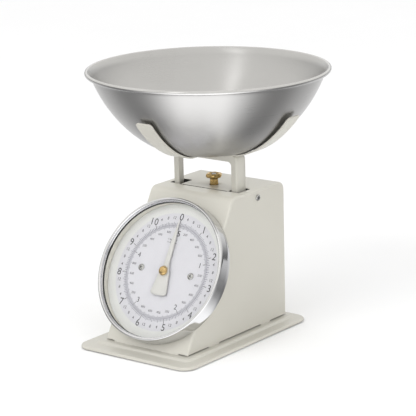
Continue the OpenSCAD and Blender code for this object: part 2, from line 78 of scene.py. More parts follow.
DECK, TOP = 6.4, 150.7                      # heights of the base's raised middle and the housing's top
FRONT_Y, BROW_Y, REAR_Y = -106.7, -25.7, 62.9
SKIRT = 7.6                                 # lower edge of the housing between its tabs
SIDE, ROLLED, BEND = 52.15, 2.2, 9.0        # half width, and radii of the side edges and of the top's bends
SLOPE = atan((BROW_Y - FRONT_Y) / (TOP - DECK))
SLOPE_DEGREES = 29.306                      # the same angle as the CAD types it
SN, CS = sin(SLOPE), cos(SLOPE)
DIAL_Z = 75.4
DIAL = Matrix(((1, 0, 0, 0), (0, SN, -CS, FRONT_Y + (DIAL_Z - DECK) * tan(SLOPE)),
               (0, CS, SN, DIAL_Z), (0, 0, 0, 1)))
DIAL_MID = Vector((0, DIAL[1][3], DIAL[2][3])) * 0.001
DIAL_OUT = Vector((0, -CS, SN))
SCREW_Y = 12                                # zero knob, its stud and the springs
SIDE_SCREW = (15.9, 142.5)                  # Y and Z
BOWL_Y, ARM_TOP = 6.0, 189.5
BOWL_END = 0.766                            # how far round the curve from the bottom the rim starts

# ---------- mesh helpers ----------


def fillet(corners, steps=4):
    """Closed outline through corners (x, y, radius), each rounded to its radius."""
    out = []
    for i, (x, y, rad) in enumerate(corners):
        if rad <= 0:
            out.append((x, y))
            continue
        p = Vector((x, y))
        a = (Vector(corners[i - 1][:2]) - p).normalized()
        b = (Vector(corners[(i + 1) % len(corners)][:2]) - p).normalized()
        half = a.angle(b) / 2
        mid = p + (a + b).normalized() * rad / sin(half)
        start, end = p + a * rad / tan(half) - mid, p + b * rad / tan(half) - mid
        a0 = atan2(start.y, start.x)
        turn = (atan2(end.y, end.x) - a0 + pi) % (2 * pi) - pi
        out += [(mid.x + rad * cos(a0 + turn * k / steps), mid.y + rad * sin(a0 + turn * k / steps))
                for k in range(steps + 1)]
    return out


def arc(cx, cy, r, a0, a1, steps):
    """Points on an arc from a0 to a1 degrees."""
    return [(cx + r * cos(radians(a0 + (a1 - a0) * k / steps)),
             cy + r * sin(radians(a0 + (a1 - a0) * k / steps))) for k in range(steps + 1)]


def tidy(bm):
    """The mesh with doubled points merged and its normals facing out."""
    bmesh.ops.remove_doubles(bm, verts=bm.verts, dist=1e-5)
    bmesh.ops.dissolve_degenerate(bm, edges=bm.edges, dist=1e-6)
    bmesh.ops.recalc_face_normals(bm, faces=bm.faces)
    return bm


def loft(loops, ring=False):
    """Closed skin over loops of equal length. ring joins the last to the first, or else the ends are capped."""
    bm = bmesh.new()
    rows = [[bm.verts.new(p) for p in loop] for loop in loops]
    n = len(rows[0])
    for i in range(len(rows) if ring else len(rows) - 1):
        a, b = rows[i], rows[(i + 1) % len(rows)]
        for j in range(n):
            bm.faces.new((a[j], a[(j + 1) % n], b[(j + 1) % n], b[j]))
    if not ring:
        bm.faces.new(rows[0][::-1])
        bm.faces.new(rows[-1])
    return tidy(bm)


def lathe(profile, n=96, shape=None):
    """Solid turned about Z from a closed profile of (radius, height). shape(angle, r, z) is a new radius."""
    bm = bmesh.new()
    rings = []
    for i in range(n):
        a = 2 * pi * i / n
        ring = []
        for r, z in profile:
            q = shape(a, r, z) if shape else r
            ring.append(bm.verts.new((q * cos(a), q * sin(a), z)))
        rings.append(ring)
    m = len(profile)
    for i in range(n):
        a, b = rings[i], rings[(i + 1) % n]
        for j in range(m):
            k = (j + 1) % m
            if profile[j][0] < 1e-6 and profile[k][0] < 1e-6:
                continue
            bm.faces.new((a[j], b[j], b[k], a[k]))
    return tidy(bm)


def sheet(rows, hole=None):
    """Open skin over a grid of points. hole(i, j) leaves a face out."""
    bm = bmesh.new()
    grid = [[bm.verts.new(p) for p in row] for row in rows]
    for i in range(len(grid) - 1):
        for j in range(len(grid[0]) - 1):
            if not (hole and hole(i, j)):
                bm.faces.new((grid[i][j], grid[i][j + 1], grid[i + 1][j + 1], grid[i + 1][j]))
    bmesh.ops.delete(bm, geom=[v for v in bm.verts if not v.link_faces], context="VERTS")
    return bm


def plate(outline, z0, z1):
    """Flat solid over a 2-D outline."""
    return loft([[(x, y, z) for x, y in outline] for z in (z0, z1)])


def joined(parts):
    """One bmesh from several (bmesh, matrix) pairs."""
    out = bmesh.new()
    for bm, matrix in parts:
        mesh = bpy.data.meshes.new("part")
        bm.to_mesh(mesh)
        mesh.transform(matrix)
        out.from_mesh(mesh)
        bpy.data.meshes.remove(mesh)
    return out


def moved(x=0.0, y=0.0, z=0.0, axis=None, angle=0.0):
    """Matrix of a turn in degrees about an axis through the origin, then a shift."""
    out = Matrix.Translation((x, y, z))
    return out @ Matrix.Rotation(radians(angle), 4, axis) if axis else out


def as_object(name, bm):
    """A new object in the scene with the bmesh as its mesh."""
    mesh = bpy.data.meshes.new(name)
    bm.to_mesh(mesh)
    obj = bpy.data.objects.new(name, mesh)
    scene.collection.objects.link(obj)
    return obj


def settled(obj):
    """The object with its modifiers worked into its mesh."""
    graph = bpy.context.evaluated_depsgraph_get()
    graph.update()
    mesh = bpy.data.meshes.new_from_object(obj.evaluated_get(graph))
    obj.modifiers.clear()
    obj.data = mesh
    return obj


def thickened(obj, t, edge=0.0):
    """A skin made a closed sheet t thick, inward from its normals, with its edges broken by edge."""
    solid = obj.modifiers.new("solid", "SOLIDIFY")
    solid.thickness, solid.offset, solid.use_even_offset = t, -1, True
    if edge:
        rounded(obj, edge)
    return settled(obj)


def rounded(obj, width):
    """The object with a bevel on its sharp edges, still to be settled."""
    bevel = obj.modifiers.new("edge", "BEVEL")
    bevel.width, bevel.segments, bevel.limit_method = width, 2, "ANGLE"
    bevel.angle_limit = radians(50)
    bevel.use_clamp_overlap = True
    return obj


def cut(obj, *tools):
    """The object with the closed tool meshes taken out of it."""
    made = []
    for bm in tools:
        tool = as_object("tool", bm)
        made.append(tool)
        mod = obj.modifiers.new("cut", "BOOLEAN")
        mod.operation, mod.solver, mod.object = "DIFFERENCE", "EXACT", tool
    settled(obj)
    for tool in made:
        bpy.data.objects.remove(tool)
    return obj


def piece(name, shape, material, body, slot, *nodes, matrix=None, sharp=38):
    """A finished piece from a bmesh or an object in millimetres: scaled, shaded and riding.

    body is a CAD body, or (body, body, start, end) for a piece between two, which rides neither and stays where
    it is built; the two bodies, start and end are not used."""
    obj = shape if isinstance(shape, bpy.types.Object) else as_object(name, shape)
    obj.name = obj.data.name = name
    obj.data.transform(MM @ (matrix or Matrix.Identity(4)))
    obj.data.materials.clear()
    obj.data.materials.append(material)
    obj.data.shade_smooth()
    obj.data.set_sharp_from_angle(angle=radians(sharp))
    if isinstance(body, tuple):
        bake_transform(obj)
    else:
        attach(obj, body)
    if nodes:
        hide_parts(*nodes)
    return obj


def repaint(obj, material, chosen):
    """A second material on the faces where chosen(centre in millimetres, normal) is true."""
    obj.data.materials.append(material)
    for face in obj.data.polygons:
        if chosen(face.center * 1000, face.normal):
            face.material_index = 1


# ---------- materials ----------


def node_adder(tree):
    """add(kind, props, socket=value or socket) for a node tree. i0, i1 and so on name a socket by number."""
    def add(kind, props=None, **inputs):
        node = tree.nodes.new("ShaderNode" + kind)
        for key, value in (props or {}).items():
            setattr(node, key, value)
        for key, value in inputs.items():
            numbered = key[0] == "i" and key[1:].isdigit()
            socket = node.inputs[int(key[1:]) if numbered else key.replace("_", " ")]
            if isinstance(value, bpy.types.NodeSocket):
                tree.links.new(value, socket)
            else:
                socket.default_value = value
        return node

    return add


def shader(name):
    """A new material, its Principled node, a node adder and its link function."""
    material = bpy.data.materials.new(name)
    material.use_nodes = True
    tree = material.node_tree
    return material, tree.nodes["Principled BSDF"], node_adder(tree), tree.links.new


def ramp(add, factor, stops):
    """Colour ramp over stops of (position, colour)."""
    node = add("ValToRGB", Fac=factor)
    while len(node.color_ramp.elements) < len(stops):
        node.color_ramp.elements.new(0.5)
    for element, (at, colour) in zip(node.color_ramp.elements, stops):
        element.position = at
        element.color = (*colour, 1)
    return node.outputs[0]


def greys(stops):
    """Stops of (position, grey) as stops of (position, colour)."""
    return [(at, (grey, grey, grey)) for at, grey in stops]


def edge_mask(add, radius, gain):
    """Near 1 along convex and concave edges within radius, 0 on open faces."""
    soft = add("Bevel", {"samples": 4}, Radius=radius).outputs[0]
    flat = add("NewGeometry").outputs["Normal"]
    dot = add("VectorMath", {"operation": "DOT_PRODUCT"}, i0=soft, i1=flat).outputs["Value"]
    return add("MapRange", Value=dot, From_Min=1.0, From_Max=1.0 - gain, To_Min=0.0, To_Max=1.0).outputs[0]


def finish(name, low, high, rough, metallic=0.0, drift=14, grain=1400, relief=0.3, stretch=(1, 1, 1),
           coat=0.0, coat_rough=0.1, worn=None, worn_radius=0.0006, spread=0.25, painted_shade_reach=0.0):
    """A finish with slow tone drift, fine grain in roughness and relief, worn edges, and painted shade that
    darkens its recesses.
    """
    material, bsdf, add, link = shader(name)
    place = add("TexCoord").outputs["Object"]
    drawn = add("Mapping", Vector=place, Scale=stretch).outputs[0]
    slow = add("TexNoise", Vector=place, Scale=drift, Detail=4).outputs[0]
    fine = add("TexNoise", Vector=drawn, Scale=grain, Detail=3).outputs[0]
    colour = ramp(add, slow, ((0.32, low), (0.68, high)))
    if worn:
        broken = add("Math", {"operation": "MULTIPLY"}, i0=edge_mask(add, worn_radius, 0.35),
                     i1=add("TexNoise", Vector=place, Scale=grain / 6, Detail=5).outputs[0]).outputs[0]
        colour = add("MixRGB", Fac=broken, Color1=colour, Color2=(*worn, 1)).outputs[0]
    # Painted shade: ambient occlusion within this reach darkens the colour in recesses and between parts.
    if painted_shade_reach:
        open_air = add("AmbientOcclusion", {"samples": 6, "only_local": True}, Distance=painted_shade_reach).outputs["AO"]
        shade = add("MapRange", Value=open_air, From_Min=0.35, From_Max=0.95, To_Min=0.0,
                    To_Max=1.0).outputs[0]
        colour = add("MixRGB", Fac=shade, Color1=(0.03, 0.028, 0.025, 1), Color2=colour).outputs[0]
    link(colour, bsdf.inputs["Base Color"])
    both = add("Math", {"operation": "ADD"}, i0=slow, i1=fine).outputs[0]
    link(add("MapRange", Value=both, From_Min=0.7, From_Max=1.3, To_Min=rough * (1 - spread),
             To_Max=rough * (1 + spread)).outputs[0], bsdf.inputs["Roughness"])
    link(add("Bump", Strength=relief, Distance=0.00012, Height=fine).outputs[0], bsdf.inputs["Normal"])
    bsdf.inputs["Metallic"].default_value = metallic
    bsdf.inputs["IOR"].default_value = 1.5
    bsdf.inputs["Coat Weight"].default_value = coat
    bsdf.inputs["Coat Roughness"].default_value = coat_rough
    return material


enamel = finish("enamel", (0.547, 0.532, 0.474), (0.572, 0.556, 0.497), 0.42, drift=9, grain=2600,
                relief=0.12, coat=0.35, coat_rough=0.22, worn=(0.70, 0.685, 0.65), worn_radius=0.0008)
pointer_paint = finish("pointer_paint", (0.55, 0.545, 0.515), (0.59, 0.585, 0.555), 0.4, drift=40, grain=3200,
                       relief=0.15, coat=0.2, worn=(0.7, 0.69, 0.65), worn_radius=0.0005)
chrome = finish("chrome", (0.66, 0.66, 0.67), (0.72, 0.72, 0.73), 0.1, 1.0, drift=30, grain=1800, relief=0.04,
                worn=(0.8, 0.8, 0.8), spread=0.4)
# Painted shade darkens its recesses, such as the screws' cross slots.
bright_steel = finish("bright_steel", (0.46, 0.46, 0.45), (0.56, 0.56, 0.55), 0.16, 1.0, drift=90, grain=3000,
                      relief=0.2, worn=(0.75, 0.75, 0.74), worn_radius=0.0003, painted_shade_reach=0.0018)
# Darker than bare zinc plating: partly the inner frame's own finish, partly painted shade so that the frame
# reads dark through the gaps.
plated_steel = finish("plated_steel", (0.25, 0.26, 0.27), (0.36, 0.37, 0.38), 0.38, 1.0, drift=45, grain=2200,
                      relief=0.3, stretch=(1, 0.08, 1), worn=(0.55, 0.55, 0.55))
spring_wire = finish("spring_wire", (0.34, 0.35, 0.36), (0.46, 0.47, 0.48), 0.3, 1.0, drift=60, grain=2600,
                     relief=0.2, stretch=(0.1, 0.1, 1))
# Painted shade darkens its recesses too.
brass = finish("brass", (0.54, 0.36, 0.13), (0.70, 0.50, 0.22), 0.24, 1.0, drift=160, grain=3200, relief=0.25,
               worn=(0.82, 0.64, 0.34), worn_radius=0.0004, painted_shade_reach=0.002)
rubber = finish("rubber", (0.012, 0.012, 0.012), (0.022, 0.021, 0.020), 0.75, drift=120, grain=3600,
                relief=0.5, worn=(0.06, 0.06, 0.058), worn_radius=0.0005)
pan_paint = finish("pan_paint", (0.76, 0.76, 0.745), (0.80, 0.80, 0.785), 0.5, drift=30, grain=2600,
                   relief=0.12)
dark_ink, mid_ink, grey_ink = [
    finish(name, low, high, 0.55, drift=400, grain=5000, relief=0.1)
    for name, low, high in (("dark_ink", (0.022, 0.022, 0.026), (0.042, 0.042, 0.048)),
                            ("mid_ink", (0.055, 0.055, 0.065), (0.085, 0.085, 0.095)),
                            ("grey_ink", (0.13, 0.13, 0.175), (0.18, 0.18, 0.225)))]


def dial_paper():
    """Matt printed sheet: a cool white disc inside a warm margin, with faint mottling."""
    material, bsdf, add, link = shader("dial_paper")
    place = add("TexCoord").outputs["Object"]
    off = add("VectorMath", {"operation": "SUBTRACT"}, i0=place, i1=DIAL_MID).outputs[0]
    lift = add("VectorMath", {"operation": "DOT_PRODUCT"}, i0=off, i1=DIAL_OUT).outputs["Value"]
    flat = add("VectorMath", {"operation": "SCALE"}, i0=DIAL_OUT, Scale=lift).outputs[0]
    reach = add("VectorMath", {"operation": "LENGTH"}, i0=add(
        "VectorMath", {"operation": "SUBTRACT"}, i0=off, i1=flat).outputs[0]).outputs["Value"]
    edge = add("MapRange", {"interpolation_type": "SMOOTHSTEP"}, Value=reach, From_Min=0.0605,
               From_Max=0.0625, To_Min=0.0, To_Max=1.0).outputs[0]
    mottle = add("TexNoise", Vector=place, Scale=60, Detail=5).outputs[0]
    fibre = add("TexNoise", Vector=place, Scale=4000, Detail=2).outputs[0]
    cool = ramp(add, mottle, ((0.3, (0.605, 0.60, 0.63)), (0.7, (0.635, 0.63, 0.66))))
    warm = ramp(add, mottle, ((0.3, (0.67, 0.675, 0.655)), (0.7, (0.70, 0.705, 0.685))))
    link(add("MixRGB", Fac=edge, Color1=cool, Color2=warm).outputs[0], bsdf.inputs["Base Color"])
    link(add("MapRange", Value=fibre, To_Min=0.5, To_Max=0.75).outputs[0], bsdf.inputs["Roughness"])
    link(add("Bump", Strength=0.08, Distance=0.0001, Height=fibre).outputs[0], bsdf.inputs["Normal"])
    return material


def spun_steel():
    """Stainless steel spun on a lathe: fine rings that draw reflections out across them."""
    material, bsdf, add, link = shader("spun_steel")
    place = add("TexCoord").outputs["Object"]
    off = add("VectorMath", {"operation": "SUBTRACT"}, i0=place, i1=(0, BOWL_Y * 0.001, 0)).outputs[0]
    xyz = add("SeparateXYZ", Vector=off)
    turn = add("Math", {"operation": "ARCTAN2"}, i0=xyz.outputs[1], i1=xyz.outputs[0]).outputs[0]
    reach = add("VectorMath", {"operation": "LENGTH"}, i0=add(
        "VectorMath", {"operation": "MULTIPLY"}, i0=off, i1=(1, 1, 0)).outputs[0]).outputs["Value"]
    rings = add("CombineXYZ", X=add("Math", {"operation": "MULTIPLY"}, i0=reach, i1=2600.0).outputs[0],
                Y=add("Math", {"operation": "MULTIPLY"}, i0=xyz.outputs[2], i1=2600.0).outputs[0],
                Z=add("Math", {"operation": "MULTIPLY"}, i0=turn, i1=1.5).outputs[0]).outputs[0]
    lines = add("TexNoise", Vector=rings, Scale=1.0, Detail=3).outputs[0]
    cloud = add("TexNoise", Vector=off, Scale=16, Detail=4).outputs[0]
    tone = ramp(add, cloud, ((0.3, (0.50, 0.495, 0.49)), (0.7, (0.55, 0.545, 0.54))))
    link(tone, bsdf.inputs["Base Color"])
    both = add("Math", {"operation": "ADD"}, i0=lines, i1=cloud).outputs[0]
    link(add("MapRange", Value=both, From_Min=0.7, From_Max=1.3, To_Min=0.27, To_Max=0.36).outputs[0],
         bsdf.inputs["Roughness"])
    link(add("Bump", Strength=0.12, Distance=0.00005, Height=lines).outputs[0], bsdf.inputs["Normal"])
    link(add("Tangent", {"direction_type": "RADIAL", "axis": "Z"}).outputs[0], bsdf.inputs["Tangent"])
    bsdf.inputs["Metallic"].default_value = 1
    bsdf.inputs["Anisotropic"].default_value = 0.7
    bsdf.inputs["Anisotropic Rotation"].default_value = 0.25
    return material


def clear_glass():
    """Thin flat glass: clear where faced, mirror-like at a slant, with faint smears."""
    material, bsdf, add, link = shader("clear_glass")
    place = add("TexCoord").outputs["Object"]
    smear = add("TexNoise", Vector=add("Mapping", Vector=place, Scale=(1, 2.5, 1)).outputs[0], Scale=30,
                Detail=5).outputs[0]
    sheen = add("Fresnel", IOR=1.42).outputs[0]
    film = add("MapRange", Value=smear, From_Min=0.4, From_Max=0.75, To_Min=0.0, To_Max=0.012).outputs[0]
    behind = add("NewGeometry").outputs["Backfacing"]
    outer = add("Math", {"operation": "SUBTRACT"}, i0=1.0, i1=behind).outputs[0]
    seen = add("Math", {"operation": "ADD"}, i0=sheen, i1=film).outputs[0]
    link(add("Math", {"operation": "MULTIPLY"}, i0=seen, i1=outer).outputs[0], bsdf.inputs["Alpha"])
    link(add("MapRange", Value=smear, To_Min=0.02, To_Max=0.09).outputs[0], bsdf.inputs["Roughness"])
    link(ramp(add, smear, ((0.3, (0.93, 0.96, 0.95)), (0.7, (0.97, 0.99, 0.98)))), bsdf.inputs["Base Color"])
    bsdf.inputs["Metallic"].default_value = 1
    return material


steel_bowl = spun_steel()
rim_polish = finish("rim_polish", (0.56, 0.555, 0.55), (0.62, 0.615, 0.61), 0.13, 1.0, drift=40, grain=1800,
                    relief=0.05, spread=0.4)
# Near-black that stands in for the shade inside gaps: painted shade on the seam and slot edges and on the frame
# top seen through them.
painted_gap_shade = finish("painted_gap_shade", (0.035, 0.034, 0.030), (0.055, 0.052, 0.046), 0.6, drift=60, grain=3000,
                  relief=0.1)
glass = clear_glass()
paper = dial_paper()
BY_SLOT = {"enamel": enamel, "dial_face": pan_paint, "pointer_paint": pointer_paint, "chrome": chrome,
           "glass": glass, "bowl_steel": steel_bowl, "bright_steel": bright_steel,
           "plated_steel": plated_steel, "spring_wire": spring_wire, "brass": brass, "rubber": rubber}
for entry in frame["record"]["materials"]:
    for node in entry.get("nodes", []):
        mesh = frame["nodes"][node].data
        mesh.materials.clear()
        mesh.materials.append(BY_SLOT[entry["slot"]])
        mesh.shade_smooth()
        mesh.set_sharp_from_angle(angle=radians(32))
frame["nodes"]["dial_plate"].data.materials[0] = paper
# The frame top under the seam is painted dark as shade.
frame["nodes"]["frame_top"].data.materials[0] = painted_gap_shade

# ---------- base ----------


def box_loop(w, d, r, cy, z, n=8):
    """Rounded rectangle centred on (0, cy) at height z."""
    return [(sx * (w / 2 - r) + x, cy + sy * (d / 2 - r) + y, z)
            for sx, sy, a in ((1, 1, 0), (-1, 1, 90), (-1, -1, 180), (1, -1, 270))
            for x, y in arc(0, 0, r, a, a + 90, n)]


def rim_loop(inset, z):
    """Outline of the base plate's edge, set in."""
    return box_loop(143 - 2 * inset, 208 - 2 * inset, 14 - inset, -27, z)


def deck_loop(inset, z):
    """Outline of the base plate's raised middle, set in."""
    return box_loop(118 - 2 * inset, 182 - 2 * inset, 6 - inset, -23.5, z)


base = loft([
    deck_loop(3.5, 5.2), deck_loop(2.2, 5.2), deck_loop(1.4, 4.9), deck_loop(1.0, 4.2), deck_loop(0.6, 3.3),
    deck_loop(-0.4, 2.9), rim_loop(2.6, 2.9), rim_loop(1.6, 2.7), rim_loop(1.2, 2.2), rim_loop(1.2, 1.3),
    rim_loop(0.9, 0.95), rim_loop(0.6, 0.9), rim_loop(0.2, 1.0), rim_loop(0.0, 1.4), rim_loop(0.0, 2.5),
    rim_loop(0.15, 3.1), rim_loop(0.6, 3.7), rim_loop(1.3, 4.02), rim_loop(2.1, 4.1), rim_loop(3.2, 4.1),
    deck_loop(-2.4, 4.1), deck_loop(-1.6, 4.15), deck_loop(-0.9, 4.4), deck_loop(-0.3, 4.95),
    deck_loop(0.2, 5.6), deck_loop(0.8, 6.12), deck_loop(1.6, 6.36), deck_loop(2.4, DECK),
    deck_loop(3.5, DECK)])
piece("pressed_base", base, enamel, "base", "enamel", "base_plate", sharp=60)

foot = lathe(fillet([(4.6, 0, 0.4), (8, 0, 0.9), (8, 3.4, 0.7), (6.8, 3.4, 0.2), (6.8, 5.2, 0), (2.2, 5.2, 0),
                     (2.2, 1.6, 0), (4.6, 1.6, 0.3)]), 48)
piece("rubber_feet", joined([(foot, moved(x, y)) for x in (-48, 48) for y in (-101, 54)]), rubber, "base",
      "rubber", "feet")

# ---------- housing ----------

# Middles of the bends at the front and back of the top.
CZ = TOP - BEND
FRONT_C = FRONT_Y + (CZ - DECK) * tan(SLOPE) + BEND / CS
BACK_C = REAR_Y - BEND
# Columns of points across the sheets: X, and how far a point is set in round the rolled side edges.
COLUMNS = ([(-SIDE + ROLLED - ROLLED * sin(radians(a)), ROLLED * (1 - cos(radians(a))))
            for a in (90, 75, 60, 45, 30, 15)]
           + [(x, 0.0) for x in (-SIDE + ROLLED, -48.5, -43.5, -41, -31, -30, -20, 20, 30, 31, 41, 43.5, 48.5,
                                 SIDE - ROLLED)]
           + [(SIDE - ROLLED + ROLLED * sin(radians(a)), ROLLED * (1 - cos(radians(a))))
              for a in (15, 30, 45, 60, 75, 90)])


def wrap(path, shift=None):
    """Grid over COLUMNS along a path of (y, z, out_y, out_z). shift(x, i) slides row i along Y."""
    return [[(x, y - oy * inset + (shift(x, i) if shift else 0), z - oz * inset) for x, inset in COLUMNS]
            for i, (y, z, oy, oz) in enumerate(path)]


def seam_lip(y, side):
    """The last rows of a top sheet, ending at y. side is -1 for the front sheet, 1 for the rear."""
    return [(y + side * 1.6, TOP, 0, 1), (y, TOP, 0, 1)]


def on_slope(z):
    """Point of the front sheet's path at height z."""
    return (FRONT_Y + (z - DECK) * tan(SLOPE), z, -CS, SN)


def bend_path(mid, angles):
    """Part of a sheet's path round a bend."""
    return [(mid + BEND * cos(radians(a)), CZ + BEND * sin(radians(a)), cos(radians(a)), sin(radians(a)))
            for a in angles]


front_path = [on_slope(z) for z in (DECK, SKIRT, 9, 30, 118, 134)]
front_path += bend_path(FRONT_C, [180 - SLOPE_DEGREES - (90 - SLOPE_DEGREES) * k / 8 for k in range(9)])
front_path += [(-14, TOP, 0, 1)] + seam_lip(-5.05, -1)
lip_row = len(front_path) - 1


def widen(x, i):
    """The seam between the legs is wider than beside them."""
    return -1.5 if i >= lip_row and abs(x) <= 30 else 0.0


def tabs_only(i, j):
    """Leaves out the corners of the lowest row, so that a tab stays in the middle."""
    mid = abs(COLUMNS[j][0] + COLUMNS[j + 1][0]) / 2
    return i == 0 and mid > 41


front = thickened(as_object("front", sheet(wrap(front_path, widen), tabs_only)), 1.0, 0.28)
front = piece("front_sheet", front, enamel, "base", "enamel", "front_panel")

rear_path = seam_lip(-4.75, 1)[::-1] + [(20, TOP, 0, 1), (48, TOP, 0, 1)]
rear_path += bend_path(BACK_C, [90 - 11.25 * k for k in range(9)])
rear_path += [(REAR_Y, z, 1, 0) for z in (134, 30, 9, SKIRT)]
rear = thickened(as_object("rear", sheet(wrap(rear_path))), 1.0)
slot_line = fillet([(30.2, -9, 0.1), (44, -9, 0.1), (44, 14.6, 1.2), (30.2, 14.6, 1.2)])
cut(rear, plate(slot_line, 145, 156), plate([(-x, y) for x, y in slot_line[::-1]], 145, 156),
    plate(arc(0, SCREW_Y, 4.9, 0, 352.5, 47), 145, 156))
settled(rounded(rear, 0.28))
rear = piece("rear_sheet", rear, enamel, "base", "enamel", "rear_cover")


def on_slot_edge(at, normal):
    """Whether a face is on the edge of a leg slot or of the seam."""
    return abs(normal.z) < 0.5 and at.z > TOP - 1.1 and abs(at.x) < 44.5 and -9.5 < at.y < 15


# The edge faces of the leg slots and of the seam get the painted shade.
for top_sheet in (front, rear):
    repaint(top_sheet, painted_gap_shade, on_slot_edge)


def side_line():
    """Outline of a side plate in Y and Z, set in from the sheets by their rolled edge."""
    r = BEND - ROLLED
    low = [(REAR_Y - ROLLED, SKIRT)]
    for a, b in ((34, 18), (-54, -70.6)):
        low += [(a, SKIRT), (a, DECK), (b, DECK), (b, SKIRT)]
    y = FRONT_Y + (SKIRT - DECK) * tan(SLOPE) + ROLLED / CS
    return (low + [(y, SKIRT)] + arc(FRONT_C, CZ, r, 180 - SLOPE_DEGREES, 90, 10)
            + arc(BACK_C, CZ, r, 90, 0, 10))


# A side plate is drawn flat, and this turns its X, Y and Z to Y, Z and X.
TO_SIDE = Matrix(((0, 0, 1, 0), (1, 0, 0, 0), (0, 1, 0, 0), (0, 0, 0, 1)))
for name, sign in (("side_left", -1), ("side_right", 1)):
    panel = as_object(name, plate(side_line(), sign * (SIDE - 1.2), sign * SIDE))
    cut(panel, plate(arc(*SIDE_SCREW, 2.1, 0, 345, 23), sign * 45, sign * 60))
    piece(name + "_plate", panel, enamel, "base", "enamel", name, matrix=TO_SIDE)

# ---------- screws ----------


def cross_screw(r, h, shank, depth):
    """Pan-head screw standing on Z = 0 with a cross recess."""
    head = lathe([(0, -depth), (shank, -depth), (shank, 0), (r - 0.15, 0), (r, 0.15), (r, h * 0.32),
                  (r * 0.94, h * 0.58), (r * 0.8, h * 0.8), (r * 0.55, h * 0.95), (r * 0.25, h), (0, h)], 40)
    w, l, low = 0.42, r * 0.62, h * 0.35
    bar = loft([[(-l * k, -w * k, z), (l * k, -w * k, z), (l * k, w * k, z), (-l * k, w * k, z)]
                for k, z in ((0.55, low), (1.15, h + 0.5))])
    return cut(as_object("screw", head), *[joined([(bar, moved(axis="Z", angle=turn))]) for turn in (0, 90)])


def copies(obj, matrices):
    """One bmesh of the object's mesh at each matrix. The object goes."""
    bm = bmesh.new()
    bm.from_mesh(obj.data)
    out = joined([(bm, m) for m in matrices])
    bpy.data.objects.remove(obj)
    return out


piece("side_screw_pair", copies(cross_screw(3.3, 1.9, 2.0, 8), [
    moved(sign * SIDE, *SIDE_SCREW, "Y", 90 * sign) @ moved(0, 0, 0, "Z", 12) for sign in (-1, 1)]),
    bright_steel, "base", "bright_steel", "side_screws")
piece("dial_screw_pair", copies(cross_screw(3.6, 1.6, 2.0, 13), [
    moved(x, 0, 3.5, "Z", t) for x, t in ((-31.4, 25), (31.4, 64))]),
    bright_steel, "base", "bright_steel", "dial_screws", matrix=DIAL)

# ---------- dial ----------

band = [(73.1, 1.0), (73.7, 1.0), (74.3, 1.15), (74.5, 1.5)]
band += [(74.5, 6), (74.5, 13.2)] + arc(72.75, 15.95, 1.75, 0, 180, 16)[1:-1]
band += [(71.0, 15.4), (70.85, 14.8), (70.6, 14.35), (70.45, 14.15), (73.1, 14.12)]
piece("rolled_bezel", lathe(band, 192), chrome, "base", "chrome", "bezel", matrix=DIAL)
seal = fillet([(70.1, 11.65, 0.1), (70.5, 11.45, 0.1), (72.75, 11.2, 0.1), (72.75, 12.05, 0.1),
               (70.1, 12.05, 0.1)])
piece("lens_seal", lathe(seal, 160), rubber, "base", "rubber", "dial_gasket", matrix=DIAL)
pane = [(0, 12.1), (72.3, 12.1), (72.75, 12.4), (72.75, 13.8), (72.4, 14.1), (0, 14.1)]
piece("lens_glass", lathe(pane, 128), glass, "base", "glass", "lens", matrix=DIAL)


def numeral(bm, text, x, v, height, level, bold=0.0):
    """Printed characters on the dial, centred on (x, v). bold widens their strokes by a share of height."""
    curve = bpy.data.curves.new("print", "FONT")
    curve.body, curve.size, curve.align_x, curve.align_y = text, height / 0.7, "CENTER", "CENTER"
    curve.offset, curve.extrude, curve.resolution_u = bold * height, 0.02, 3
    curve.space_character = 1.06
    obj = bpy.data.objects.new("print", curve)
    scene.collection.objects.link(obj)
    graph = bpy.context.evaluated_depsgraph_get()
    mesh = bpy.data.meshes.new_from_object(obj.evaluated_get(graph))
    xs = [p.co.x for p in mesh.vertices]
    ys = [p.co.y for p in mesh.vertices]
    centre = moved(-(min(xs) + max(xs)) / 2, -(min(ys) + max(ys)) / 2)
    mesh.transform(moved(x, v, level) @ centre)
    bm.from_mesh(mesh)
    bpy.data.objects.remove(obj)
    bpy.data.meshes.remove(mesh)


def tick(bm, angle, r0, r1, width, level):
    """A printed mark from radius r0 to r1."""
    s, c = sin(radians(angle)), cos(radians(angle))
    points = [(r * s + k * c * width / 2, r * c - k * s * width / 2) for r, k in
              ((r0, -1), (r0, 1), (r1, 1), (r1, -1))]
    low = [bm.verts.new((x, y, level - 0.02)) for x, y in points]
    high = [bm.verts.new((x, y, level + 0.02)) for x, y in points]
    bm.faces.new(low[::-1])
    bm.faces.new(high)
    for i in range(4):
        bm.faces.new((low[i], low[(i + 1) % 4], high[(i + 1) % 4], high[i]))


def circle_band(r0, r1, level):
    """A printed circle between radius r0 and r1."""
    return lathe([(r0, level - 0.02), (r1, level - 0.02), (r1, level + 0.02), (r0, level + 0.02)], 180)


PRINT = 3.53                                # height of the print above the front sheet
POUNDS, KILOS = 11, 5
figures, small, marks = bmesh.new(), bmesh.new(), bmesh.new()
for k in range(POUNDS):
    a = radians(360 / POUNDS * k)
    numeral(figures, str(k), 58 * sin(a), 58 * cos(a), 7.2, PRINT, 0.0 if k == 4 else 0.004)
    for q in (1, 2, 3):
        a = radians(360 / POUNDS * (k + q / 4))
        numeral(small, str(4 * q), 57 * sin(a), 57 * cos(a), 3.0, PRINT, 0.01)
for k in range(1, KILOS + 1):
    a = radians(72 * k + (3 if k == KILOS else 0))
    numeral(figures, str(k), 40.7 * sin(a), 40.7 * cos(a), 6.0 if k == KILOS else 5.2, PRINT,
            0.0 if k == 4 else 0.004)
for k in range(KILOS):
    for q in (1, 2, 3, 4):
        a = radians(72 * k + 14.4 * q)
        numeral(small, str(200 * q), 42 * sin(a), 42 * cos(a), 2.3, PRINT, 0.01)
